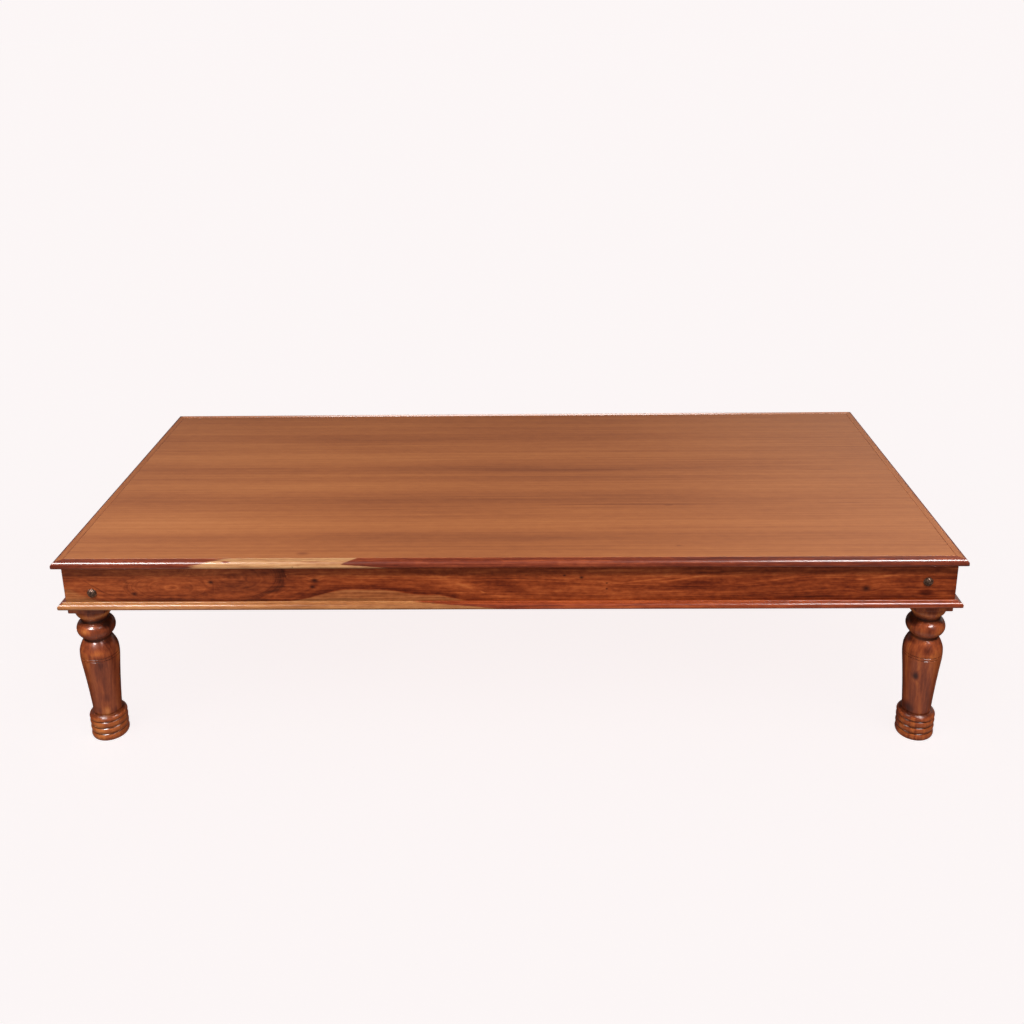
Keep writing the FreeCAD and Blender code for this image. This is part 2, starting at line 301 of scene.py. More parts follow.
def addRoom():
    world = bpy.data.worlds.new("room")
    bpy.context.scene.world = world
    world.use_nodes = True
    world.node_tree.nodes.clear()
    start = Shade(world.node_tree)
    away = start.node("ShaderNodeTexCoord", output="Generated")
    x, y = axis(away, "X"), axis(away, "Y")
    fill = mixed(smooth(y, *room["fillTurn"]), room["fillFront"], room["fillBack"])
    behind = smooth(y, *room["behindTurn"])
    sides = smooth(y, *room["sidesTurn"])
    right = sides * smooth(x, *room["rightTurn"])
    left = sides * smooth(0 - x, *room["leftTurn"])
    mirrored = mixed(behind, room["mirrored"], room["mirroredBehind"])
    mirrored = mixed(right, mirrored, room["mirroredRight"])
    mirrored = mixed(left, mirrored, room["mirroredLeft"])
    fill, mirrored, shown = (
        start.node("ShaderNodeBackground", {}, {"Color": colour, "Strength": 1.0})
        for colour in (fill, mirrored, room["shown"])
    )
    seenBy(start, "ShaderNodeOutputWorld", fill, mirrored, shown)

    bpy.ops.mesh.primitive_plane_add(size=room["floorSize"], location=(0, 0, 0))
    floor = bpy.context.object
    floor.name = "floor"
    material, place = newMaterial("paleFloor")
    matt = place.node("ShaderNodeBsdfDiffuse", {}, {"Color": (room["floorShade"],) * 3 + (1.0,)})
    # the floor glows by what its matt part falls short of the shown colour under the open sky
    share = room["backShare"]
    glow = []
    for shown, front, back in zip(room["shown"][:3], room["fillFront"], room["fillBack"]):
        glow.append(shown - room["floorShade"] * (front * (1 - share) + back * share))
    x, y = axis(place, "X"), axis(place, "Y")
    under = smooth(y, *room["underEdge"])
    bounced = mixed(under, room["floorBounceFront"], room["floorBounceUnder"])
    aside = spread(absolute(x), y, *room["legGlowPlace"], *room["legGlowReach"])
    near = smooth(aside, *room["legGlowEdge"], 1.0, 0.0)
    mirrored = mixed(near, room["floorMirrored"], room["legGlow"])
    aside = spread(x, y, *room["leftGlowPlace"], *room["leftGlowReach"])
    near = smooth(aside, *room["leftGlowEdge"], 1.0, 0.0)
    mirrored = mixed(near, mirrored, room["leftGlow"])
    glow, bounce, mirrored = (
        place.node("ShaderNodeEmission", {}, {"Color": colour, "Strength": 1.0})
        for colour in ((*glow, 1.0), bounced, mirrored)
    )
    pale = place.node("ShaderNodeAddShader", {}, {0: matt, 1: glow})
    seenBy(place, "ShaderNodeOutputMaterial", bounce, mirrored, pale)
    floor.data.materials.append(material)
    floor.select_set(False)
    return floor


def addLights(floor):
    unlit = bpy.data.collections.new("unlitFloor")
    unlit.objects.link(floor)
    unlit.collection_objects[0].light_linking.link_state = "EXCLUDE"
    for name, light in lights.items():
        data = bpy.data.lights.new(name, "AREA")
        data.shape = "RECTANGLE"
        data.size, data.size_y = light["size"]
        data.energy = light["power"]
        data.spread = radians(light.get("cone", 180.0))
        lamp = bpy.data.objects.new(name, data)
        turn = (Vector(light["place"]) - Vector(light["aim"])).to_track_quat("Z", "Y")
        lamp.matrix_world = Matrix.Translation(light["place"]) @ turn.to_matrix().to_4x4()
        lamp.visible_camera = False
        lamp.visible_diffuse = light["lights"] != "glossy"
        lamp.visible_glossy = light["lights"] != "matt"
        lamp.light_linking.receiver_collection = unlit
        if "only" in light:
            chosen = bpy.data.collections.new(name + "Only")
            for part in light["only"]:
                chosen.objects.link(nodes[part])
            lamp.light_linking.receiver_collection = chosen
        bpy.context.scene.collection.objects.link(lamp)


floor = addRoom()
addLights(floor)
bpy.context.scene.view_settings.view_transform = "Standard"
print("room and lights ready")


# Sheesham: growth bands, lines and streaks, cut by each piece where it lies
timber = {
    # the axes run along the grain, across it and into the wood, and growth is in millimetres
    "axes": "XZY",
    "centre": (0.0, 0.0, 0.0),
    "pith": None,
    "seed": 0.0,
    "seedShift": (3.7, 1.3, 2.9),
    "lean": 0.4,
    "sway": (1.7, 16.0, 16.0),
    "swayAmount": 26.0,
    "bend": (0.06, 0.016),
    "band": 24.0,
    "bandSeed": 11.7,
    "bandShare": 0.6,
    "line": 4.5,
    "lineSeed": 5.3,
    "lineShare": 0.35,
    "streak": (11.0, 170.0, 170.0),
    "streakShare": 0.6,
    "mottle": (60.0, 130.0, 130.0),
    "mottleShare": 0.3,
    "drift": (3.0, 22.0, 22.0),
    "driftShift": (4.0, 2.0),
    "driftShare": 0.5,
    "heart": [
        (0.14, paint(66, 21, 9)),
        (0.30, paint(93, 33, 14)),
        (0.44, paint(120, 49, 20)),
        (0.56, paint(140, 62, 27)),
        (0.72, paint(166, 82, 39)),
        (0.90, paint(186, 104, 54)),
    ],
    "sap": [
        (0.3, paint(140, 84, 46)),
        (0.5, paint(168, 112, 66)),
        (0.7, paint(186, 134, 84)),
    ],
    "sapShares": {"line": 0.5, "band": 0.4, "streak": 0.7, "mottle": 0.3},
    "lifts": [],
    "eyes": [],
    "eyeEdge": (0.8, 1.1),
    "eyeSway": 20.0,
    "blots": [],
    "blotEdge": (0.1, 1.0),
    "toneAndShadePatches": [],
    "knots": [],
    "knotLift": 1100,
    "knotLiftReach": (4, 2.5, 3),
    "knotReach": (1.6, 1.1, 3.0),
    "knotColour": paint(52, 20, 14),
    # painted shade in creases across the grain: height, reach and amount
    "paintedShadeCreases": [],
    "creaseShadeColour": paint(30, 8, 4),
    "vessel": (60.0, 1100.0, 1100.0),
    "vesselEdge": (0.62, 0.72),
    "poreColour": (0.03, 0.012, 0.006, 1.0),
    "pores": 0.25,
    "rough": 0.4,
    "roughSpread": 0.1,
    "poreRough": 0.3,
    "gloss": 0.1,
    "coat": 1.0,
    "coatFade": None,
    "coatRough": 0.24,
    "wave": 0.00005,
    "waveScale": (5.0, 30.0, 30.0),
    "relief": 0.00004,
    "streakRelief": 0.6,
    "lineRelief": 0.4,
}
millimetres = 1000


def growth(place, along, across, deep, sway, grain):
    # the place in the growth rings, in millimetres, with every lift, eye and knot bent into it
    if grain["pith"]:
        core = stretched(place, (0, 1, 1), (0, -grain["pith"][0], -grain["pith"][1]))
        level = distance(core) * millimetres
    else:
        level = (across + deep * grain["lean"]) * millimetres
    level = level + sway * grain["swayAmount"]
    for centre, reach, lift in grain["lifts"]:
        level = level + spot(place, centre, reach, lift)
    for x, z, reachX, reachZ, rings in grain["eyes"]:
        away = spread(along, across, x, z, reachX, reachZ)
        ringed = away * rings * grain["band"] + sway * grain["eyeSway"]
        level = level + smooth(away, *grain["eyeEdge"], 1.0, 0.0) * (ringed - level)
    for centre, radius in grain["knots"]:
        reach = [radius * share for share in grain["knotLiftReach"]]
        level = level + spot(place, centre, reach, radius * grain["knotLift"])
    return level


def woodMaterial(name, changes, sapwood=None, extra=None):
    grain = {**timber, **changes}
    material, spotInObject = newMaterial(name)
    centred = stretched(spotInObject, (1, 1, 1), [-c for c in grain["centre"]])
    parts = {letter: axis(centred, letter) for letter in "XYZ"}
    along, across, deep = (parts[letter] for letter in grain["axes"])
    place = along.node("ShaderNodeCombineXYZ", {}, {0: along, 1: across, 2: deep})
    seed = grain["seed"]
    shift = [seed * share for share in grain["seedShift"]]

    # the figure: 0.5 is the middle of the ramp
    sway = noise(place, grain["sway"], detail=3.0, shift=shift) - 0.5
    level = growth(place, along, across, deep, sway, grain)
    band = lineNoise(level / grain["band"] + seed * grain["bandSeed"], detail=1.0) - 0.5
    line = lineNoise(level / grain["line"] + seed * grain["lineSeed"], detail=3.0, rough=0.6) - 0.5
    streak = noise(place, grain["streak"], detail=3.0, rough=0.6, shift=shift) - 0.5
    mottle = noise(place, grain["mottle"], rough=0.6, shift=shift) - 0.5
    drift = noise(place, grain["drift"], shift=(seed, *grain["driftShift"])) - 0.5
    figure = band * grain["bandShare"] + line * grain["lineShare"] + streak * grain["streakShare"]
    figure = figure + mottle * grain["mottleShare"] + drift * grain["driftShare"] + 0.5
    bentAlong = along + drift * grain["bend"][0]
    bentAcross = across + sway * grain["bend"][1]
    bent = place.node("ShaderNodeCombineXYZ", {}, {0: bentAlong, 1: bentAcross, 2: deep})
    for x, z, reachX, reachZ, slope, amount in grain["blots"]:
        away = spread(axis(bent, "X"), axis(bent, "Y"), x, z, reachX, reachZ, slope)
        figure = figure + smooth(away, *grain["blotEdge"], amount, 0.0)
    # patches of wood tone, and on the legs also painted shade and painted bounce light
    for centre, reach, amount in grain["toneAndShadePatches"]:
        figure = figure + spot(place, centre, reach, amount)
    if extra:
        figure = figure + extra(bent)

    # the colours: heartwood, sapwood, pores, knots and painted shade in creases
    colour = ramp(figure, grain["heart"])
    if sapwood:
        shares = grain["sapShares"]
        pale = line * shares["line"] + band * shares["band"]
        pale = pale + streak * shares["streak"] + mottle * shares["mottle"] + 0.5
        colour = mixed(sapwood(spotInObject, streak), colour, ramp(pale, grain["sap"]))
    vessels = noise(place, grain["vessel"], detail=1.0, shift=shift)
    pores = smooth(vessels, *grain["vesselEdge"], 0.0, grain["pores"])
    colour = mixed(pores, colour, grain["poreColour"])
    for centre, radius in grain["knots"]:
        eye = spot(place, centre, [radius * share for share in grain["knotReach"]], 1.0)
        colour = mixed(eye, colour, grain["knotColour"])
    # painted shade: darker in each crease
    for height, reach, amount in grain["paintedShadeCreases"]:
        creaseShade = smooth(absolute(along - height), 0.0, reach, amount, 0.0)
        colour = mixed(creaseShade, colour, grain["creaseShadeColour"])

    # the lacquer and the fine relief
    coat = grain["coat"]
    if grain["coatFade"]:
        direction, *fade = grain["coatFade"]
        coat = smooth({"along": along, "across": across}[direction], *fade)
    rough = grain["rough"] - streak * grain["roughSpread"] + pores * grain["poreRough"]
    waves = noise(place, grain["waveScale"], detail=1.0, rough=0.4, shift=shift)
    wavy = {"Height": waves, "Distance": grain["wave"], "Strength": 1.0}
    first = place.node("ShaderNodeBump", {}, wavy)
    grooves = streak * grain["streakRelief"] + line * grain["lineRelief"] - pores
    grooved = {"Height": grooves, "Distance": grain["relief"], "Strength": 1.0, "Normal": first}
    bump = place.node("ShaderNodeBump", {}, grooved)
    inputs = {
        "Base Color": colour,
        "Roughness": rough,
        "IOR": 1.5,
        "Specular IOR Level": grain["gloss"],
        "Coat Weight": coat,
        "Coat Roughness": grain["coatRough"],
        "Coat IOR": 1.5,
        "Normal": bump,
    }
    finishMaterial(place, place.node("ShaderNodeBsdfPrincipled", {}, inputs))
    return material


def dress(name, material):
    nodes[name].material_slots[0].material = material


# Top board: one long straight veneer
panel = {
    "axes": "XYZ",
    "lean": 0.0,
    "sway": (0.9, 5.0, 5.0),
    "swayAmount": 22.0,
    "band": 46.0,
    "bandShare": 0.14,
    "line": 7.0,
    "lineShare": 0.14,
    "streak": (2.2, 150.0, 150.0),
    "streakShare": 0.26,
    "mottle": (30.0, 60.0, 60.0),
    "mottleShare": 0.12,
    "drift": (1.6, 4.0, 4.0),
    "driftShare": 0.2,
    "heart": [
        (0.30, paint(130, 73, 43)),
        (0.45, paint(155, 91, 52)),
        (0.56, paint(169, 103, 59)),
        (0.70, paint(183, 116, 69)),
    ],
    "blots": [
        (-0.40, 0.425, 1.7, 0.040, 0.0, -0.05),
        (-0.40, 0.268, 1.7, 0.050, 0.0, -0.04),
        (-0.40, 0.130, 1.7, 0.055, 0.0, 0.07),
        (-0.30, 0.050, 1.7, 0.050, 0.0, -0.09),
        (-0.40, -0.058, 1.7, 0.045, 0.0, 0.07),
        (-0.30, -0.150, 1.7, 0.050, 0.0, -0.09),
        (-0.30, -0.272, 1.7, 0.055, 0.0, 0.07),
        (-0.30, -0.343, 1.7, 0.035, 0.0, -0.08),
        # darker over the middle: partly the veneer's own tone, partly painted shade
        (0.05, -0.05, 0.75, 0.70, 0.0, -0.06),
        (0.128, 0.035, 0.32, 0.010, 0.0, -0.12),
        (0.310, -0.172, 0.30, 0.007, 0.0, -0.13),
        (0.381, -0.1762, 0.014, 0.004, 0.0, -0.24),
        (0.380, -0.3832, 0.008, 0.003, 0.0, -0.22),
        (0.799, 0.0334, 0.070, 0.004, 0.0, -0.12),
        (0.798, -0.1669, 0.110, 0.004, 0.0, -0.12),
        (-0.45, -0.417, 0.02, 0.012, 0.0, -0.18),
    ],
    "pores": 0.12,
    "rough": 0.4,
    "gloss": 0.5,
    "coat": 0.0,
    "wave": 0.00005,
    "relief": 0.00005,
}
dress("top_panel", woodMaterial("veneeredBoard", panel))
print("top board dressed")


# Top mouldings: the front one is red with pale sapwood, the others are pale on their flats with
# dark noses, partly painted shade
moulding = {
    "rough": 0.42,
    "gloss": 0.35,
    "coatRough": 0.18,
    "pores": 0.06,
    "wave": 0.000012,
    "relief": 0.000015,
    "heart": [
        (0.26, paint(75, 24, 12)),
        (0.42, paint(99, 36, 18)),
        (0.56, paint(119, 48, 24)),
        (0.74, paint(148, 69, 37)),
    ],
}
frontTop = {
    **moulding,
    "coatFade": ("across", 0.4638, 0.4648, 1.0, 0.15),
    "seed": 1.0,
    "lean": -0.8,
    "sap": [
        (0.3, paint(150, 96, 60)),
        (0.5, paint(179, 127, 83)),
        (0.7, paint(197, 149, 103)),
    ],
    # the nose's middle and its reach, in Y and Z
    "noseMiddle": (-0.4575, 0.457),
    "noseReach": (0.011, 0.0078),
    "heartEnd": (-0.692, -0.664),
    "heartSlant": 0.025,
    "heartFray": 0.06,
    "dash": (-0.607, 1.5, 0.013, 0.4),
    "dashEdge": (0.5, 1.0),
    "flameTip": (-0.361, -0.353),
    "flameStart": -0.357,
    "flameLength": 0.122,
    "flameFray": 0.4,
    "flameLow": (0.45, 1.4),
    "flameLowEdge": (-0.08, 0.12),
    "flameHigh": (0.55, 9.0),
    "flameHighEdge": (-0.1, 0.3),
    "knots": [((-0.4605, 0.4545, -0.457), 0.0016)],
}
sideTop = {
    **moulding,
    "coatFade": ("across", 0.4590, 0.4620, 1.0, 0.1),
    "sap": [
        (0.3, paint(150, 87, 50)),
        (0.5, paint(162, 97, 56)),
        (0.7, paint(172, 106, 63)),
    ],
    "flatEdge": (0.46455, 0.46495),
    "flatFray": 0.0003,
}


def frontTopSapwood(place, streak):
    # pale between the left heartwood, with one dark dash, and the flame of heartwood on the right
    values = frontTop
    x, y, z = (axis(place, name) for name in "XYZ")
    middleY, middleZ = values["noseMiddle"]
    reachY, reachZ = values["noseReach"]
    profile = (z - middleZ) / reachZ + (y - middleY) / reachY
    slanted = x - profile * values["heartSlant"] + streak * values["heartFray"]
    left = smooth(slanted, *values["heartEnd"])
    left = left * smooth(spread(x, profile, *values["dash"]), *values["dashEdge"])
    widening = (x - values["flameStart"]) / values["flameLength"]
    low = values["flameLow"][0] - widening * values["flameLow"][1]
    high = values["flameHigh"][0] + widening * values["flameHigh"][1]
    flame = smooth(profile + streak * values["flameFray"] - low, *values["flameLowEdge"])
    flame = flame * smooth(high - profile, *values["flameHighEdge"])
    flame = flame * smooth(x, *values["flameTip"])
    return left * (1 - flame)


def sideTopSapwood(place, streak):
    # pale on the flat, dark heartwood on the nose; the dark nose line is partly painted shade
    return smooth(axis(place, "Z") + streak * sideTop["flatFray"], *sideTop["flatEdge"])


def otherSides(firstSeed):
    # the right, back and left pieces of a border, each with its seed and the axes of its grain
    for number, (side, axes) in enumerate((("right", "YZX"), ("back", "XZY"), ("left", "YZX"))):
        yield side, {"seed": firstSeed + number, "axes": axes}


def leaning(side):
    return 0.8 if side == "left" else -0.8


dress("top_moulding_front", woodMaterial("topMouldingFront", frontTop, frontTopSapwood))
for side, turned in otherSides(2.0):
    changes = {**sideTop, **turned, "lean": leaning(side)}
    material = woodMaterial("topMoulding" + side.title(), changes, sideTopSapwood)
    dress("top_moulding_" + side, material)
print("top mouldings dressed")


# Aprons: the front one has a ringed swirl in a dark arc, a tan lens at its foot and a tan corner
apron = {
    "band": 30.0,
    "bandShare": 0.35,
    "lineShare": 0.3,
    "streakShare": 0.5,
    "mottleShare": 0.4,
    "rough": 0.34,
    "gloss": 0.12,
    "coat": 0.15,
    "coatRough": 0.2,
    "wave": 0.0001,
    "relief": 0.00008,
}
swirl = (-0.600, 0.425, 0.112, 0.062)
frontApron = {
    "seed": 5.0,
    "eyes": [(*swirl, 1.3), (-0.735, 0.398, 0.10, 0.036, 1.4)],
    "lifts": [((0.40, 0.40, -0.44), (0.34, 0.05, 1.0), 20.0)],
    "blots": [
        (-0.925, 0.414, 0.045, 0.018, -0.3, 0.11),
        (-0.870, 0.408, 0.034, 0.026, 0.0, 0.04),
        (-0.890, 0.392, 0.050, 0.0028, -0.62, -0.20),
        (-0.900, 0.376, 0.040, 0.005, -0.4, 0.14),
        (-0.828, 0.400, 0.008, 0.024, 0.0, -0.14),
        (-0.740, 0.398, 0.030, 0.006, 0.1, 0.16),
        (-0.700, 0.404, 0.050, 0.006, 0.15, 0.04),
        (-0.665, 0.394, 0.030, 0.009, 0.0, 0.12),
        (-0.810, 0.415, 0.055, 0.020, 0.0, -0.08),
        (-0.595, 0.403, 0.070, 0.034, 0.0, -0.15),
        (-0.567, 0.414, 0.004, 0.012, 0.0, -0.14),
        (-0.430, 0.412, 0.070, 0.022, 0.0, 0.09),
        (-0.455, 0.382, 0.040, 0.006, 0.45, -0.12),
        (-0.500, 0.380, 0.030, 0.004, 0.8, 0.10),
        (-0.330, 0.418, 0.160, 0.020, 0.0, 0.17),
        (-0.190, 0.413, 0.120, 0.020, -0.06, 0.10),
        (-0.120, 0.412, 0.090, 0.013, -0.18, 0.22),
        (-0.070, 0.394, 0.040, 0.006, -0.45, 0.08),
        (-0.150, 0.3955, 0.075, 0.008, -0.12, -0.16),
        (-0.012, 0.398, 0.085, 0.032, -0.15, -0.09),
        (0.030, 0.390, 0.060, 0.018, -0.35, -0.15),
        (-0.045, 0.386, 0.010, 0.003, -0.3, 0.30),
        (0.005, 0.373, 0.060, 0.006, -0.12, 0.14),
        (0.060, 0.410, 0.050, 0.016, 0.0, 0.06),
        (0.210, 0.404, 0.090, 0.014, 0.0, 0.13),
        (0.165, 0.375, 0.100, 0.009, 0.0, -0.12),
        (0.400, 0.4005, 0.085, 0.014, 0.05, -0.17),
        (0.490, 0.400, 0.070, 0.012, 0.0, 0.04),
        (0.385, 0.415, 0.070, 0.0026, 0.14, 0.20),
        (0.300, 0.412, 0.090, 0.0026, 0.10, 0.16),
        (0.440, 0.4205, 0.060, 0.0022, 0.0, 0.20),
        (0.355, 0.385, 0.060, 0.0024, 0.0, 0.16),
        (0.470, 0.383, 0.060, 0.004, 0.0, 0.12),
        (0.690, 0.414, 0.060, 0.010, 0.1, 0.17),
        (0.590, 0.412, 0.080, 0.003, 0.2, 0.10),
        (0.660, 0.369, 0.110, 0.005, 0.0, -0.18),
        (0.825, 0.418, 0.050, 0.006, 0.16, 0.20),
        (0.775, 0.411, 0.018, 0.004, 0.0, 0.18),
        (0.815, 0.398, 0.035, 0.011, 0.0, -0.14),
        (0.752, 0.398, 0.052, 0.016, 0.0, -0.18),
        (0.870, 0.400, 0.052, 0.018, 0.0, -0.20),
        (0.900, 0.378, 0.022, 0.010, 0.2, -0.24),
        (0.875, 0.387, 0.040, 0.007, 0.0, -0.10),
        (0.935, 0.395, 0.030, 0.008, 0.0, -0.12),
        (0.935, 0.372, 0.030, 0.010, 0.0, 0.16),
        (-0.340, 0.434, 0.240, 0.010, 0.0, 0.12),
        (-0.870, 0.434, 0.040, 0.010, 0.0, 0.10),
        (-0.870, 0.366, 0.040, 0.005, 0.0, 0.14),
        (-0.030, 0.436, 0.050, 0.010, 0.0, 0.10),
        (0.350, 0.435, 0.070, 0.010, 0.0, 0.12),
        (0.930, 0.436, 0.035, 0.010, 0.0, -0.12),
        (0.930, 0.424, 0.035, 0.007, 0.0, 0.16),
        (-0.205, 0.423, 0.040, 0.008, 0.0, 0.14),
        (-0.510, 0.414, 0.035, 0.009, 0.0, -0.10),
        (0.450, 0.414, 0.035, 0.005, 0.0, -0.12),
        (-0.530, 0.367, 0.070, 0.005, 0.0, -0.14),
        (-0.690, 0.395, 0.030, 0.007, 0.0, -0.07),
        (-0.920, 0.395, 0.040, 0.007, 0.0, -0.08),
        (0.250, 0.434, 0.110, 0.012, 0.0, 0.15),
        (0.360, 0.424, 0.080, 0.007, 0.0, 0.12),
        (0.510, 0.424, 0.060, 0.008, 0.0, 0.18),
        (0.610, 0.424, 0.070, 0.008, 0.0, 0.14),
        (0.780, 0.424, 0.090, 0.008, 0.0, 0.12),
        (0.800, 0.435, 0.080, 0.010, 0.0, 0.07),
        (-0.085, 0.417, 0.050, 0.007, -0.18, 0.08),
        (-0.450, 0.394, 0.030, 0.008, 0.0, 0.09),
        (0.140, 0.384, 0.070, 0.007, 0.0, -0.06),
        (0.630, 0.394, 0.040, 0.008, 0.0, -0.09),
        (0.330, 0.375, 0.060, 0.007, 0.0, -0.09),
        (-0.680, 0.376, 0.080, 0.008, 0.0, -0.08),
        (-0.090, 0.368, 0.030, 0.005, 0.0, 0.18),
        (-0.4827, 0.4255, 0.0018, 0.0018, 0.0, 0.40),
        (-0.4827, 0.4195, 0.0018, 0.0018, 0.0, 0.36),
    ],
    "knots": [
        ((-0.6466, 0.410, -0.44), 0.0065),
        ((-0.818, 0.382, -0.44), 0.0065),
        ((-0.418, 0.4135, -0.44), 0.008),
        ((-0.424, 0.398, -0.44), 0.006),
        ((0.127, 0.424, -0.44), 0.0035),
        ((0.164, 0.419, -0.44), 0.0048),
        ((0.219, 0.405, -0.44), 0.0028),
        ((0.219, 0.391, -0.44), 0.0028),
        ((0.780, 0.390, -0.44), 0.010),
    ],
    "arcShade": -0.20,
    "arcInside": (0.78, 0.96),
    "arcOutside": (0.98, 1.06),
    "arcLeftEnd": (-0.60, -0.52),
    "lensHeights": (0.362, 0.3904, 0.378),
    "lensRise": (-0.49, -0.345),
    "lensFall": (-0.285, -0.17),
    "lensTail": (-0.16, -0.07),
    "lensEdge": (-0.001, 0.002),
    "lensFray": 0.006,
    "lensShare": 0.36,
    "bandShade": -0.22,
    "bandTop": (0.004, 0.018),
    "bandStart": (-0.50, -0.40),
    "bandEnd": (-0.09, 0.0),
    # painted shade and light in the shadow band under the top moulding
    "shadowBandHeight": (0.424, 0.432),
    "shadowBandShades": ((-0.7, -0.2, 0.06, -0.09), (0.55, 0.72, 0.0, 0.09)),
    # painted shade at the apron's foot, just above the lower moulding
    "footShadowHeight": (0.366, 0.3715),
    "footShadowAmounts": (-0.5, -0.1, -0.26, -0.07),
    "cornerSlope": 0.45,
    "cornerEdge": (-0.046, -0.034),
    "cornerFray": 0.016,
    "cornerShare": 0.36,
    # a painted sheen towards the left end
    "leftSheenShare": (-0.6, -0.3, 0.05, 0.0),
}


def lensEdge(x):
    # the height of the tan lens's upper edge: a rise, a first fall and a last one to its tip
    low, high, tail = frontApron["lensHeights"]
    edge = smooth(x, *frontApron["lensRise"], low, high)
    edge = edge - smooth(x, *frontApron["lensFall"], 0.0, high - tail)
    return edge - smooth(x, *frontApron["lensTail"], 0.0, tail - low)


def frontApronFigure(bent):
    # the dark arc round the swirl, the dark band over the lens, painted shade and light in the
    # shadow band under the top, and painted shade at the foot
    values = frontApron
    x, z = axis(bent, "X"), axis(bent, "Y")
    away = spread(x, z, *swirl)
    arc = smooth(away, *values["arcInside"], 0.0, values["arcShade"])
    arc = arc * smooth(away, *values["arcOutside"], 1.0, 0.0) * smooth(x, *values["arcLeftEnd"])
    above = z - lensEdge(x)
    band = smooth(above, *values["lensEdge"]) * smooth(above, *values["bandTop"], 1.0, 0.0)
    band = band * smooth(x, *values["bandStart"])
    band = band * smooth(x, *values["bandEnd"], values["bandShade"], 0.0)
    # painted shade and light in the shadow band under the top: lighter at the left end, darker
    # from the middle on
    left, right = values["shadowBandShades"]
    rim = smooth(z, *values["shadowBandHeight"]) * (smooth(x, *left) + smooth(x, *right))
    # painted shade: darker just above the lower moulding, most at the left
    foot = smooth(z, *values["footShadowHeight"], 1.0, 0.0) * smooth(x, *values["footShadowAmounts"])
    return arc + band + rim + foot


def frontApronSapwood(place, streak):
    values = frontApron
    x, z = axis(place, "X"), axis(place, "Z")
    below = lensEdge(x) + streak * values["lensFray"] - z
    lens = smooth(below, *values["lensEdge"], 0.0, values["lensShare"])
    outside = z + x * values["cornerSlope"] + streak * values["cornerFray"]
    corner = smooth(outside, *values["cornerEdge"], values["cornerShare"], 0.0)
    # paler towards the left end: a painted sheen mixed in as sapwood
    return larger(larger(lens, corner), smooth(x, *values["leftSheenShare"]))


sideSwirls = {"right": 0.1, "back": 0.15, "left": 0.2}
sideSwirl = (0.405, 0.16, 0.045, 1.6)
changes = {**apron, **frontApron}
dress("apron_front", woodMaterial("apronFront", changes, frontApronSapwood, frontApronFigure))
for side, turned in otherSides(6.0):
    changes = {**apron, **turned, "eyes": [(sideSwirls[side], *sideSwirl)]}
    dress("apron_" + side, woodMaterial("apron" + side.title(), changes))
print("aprons dressed")


# Lower mouldings: the front one is golden sapwood on the left, and red right of the lens's tip
frontLower = {
    **moulding,
    "gloss": 0.25,
    "seed": 9.0,
    "lean": -0.8,
    "heart": [
        (0.26, paint(104, 38, 16)),
        (0.42, paint(136, 56, 26)),
        (0.56, paint(158, 72, 34)),
        (0.74, paint(184, 92, 46)),
    ],
    "sap": [
        (0.3, paint(137, 82, 45)),
        (0.5, paint(164, 104, 59)),
        (0.7, paint(187, 129, 79)),
    ],
    "blots": [(0.78, 0.355, 0.32, 0.03, 0.0, -0.12)],
    "bottom": 0.347,
    "height": 0.016,
    "filletEnd": (-0.28, -0.07, 1.1, 0.74),
    "goldEnd": (-0.11, 0.065, 0.0, 0.8),
    "goldEdge": (-0.03, 0.05),
    "goldFray": 0.3,
}


def frontLowerSapwood(place, streak):
    # the profile runs from 0 at the moulding's bottom to 1 at its top
    values = frontLower
    x, z = axis(place, "X"), axis(place, "Z")
    profile = (z - values["bottom"]) / values["height"]
    edge = smooth(x, *values["filletEnd"]) - smooth(x, *values["goldEnd"])
    return smooth(edge + streak * values["goldFray"] - profile, *values["goldEdge"])


dress("lower_moulding_front", woodMaterial("lowerMouldingFront", frontLower, frontLowerSapwood))
for side, turned in otherSides(10.0):
    changes = {**moulding, **turned, "lean": leaning(side)}
    dress("lower_moulding_" + side, woodMaterial("lowerMoulding" + side.title(), changes))
print("lower mouldings dressed")


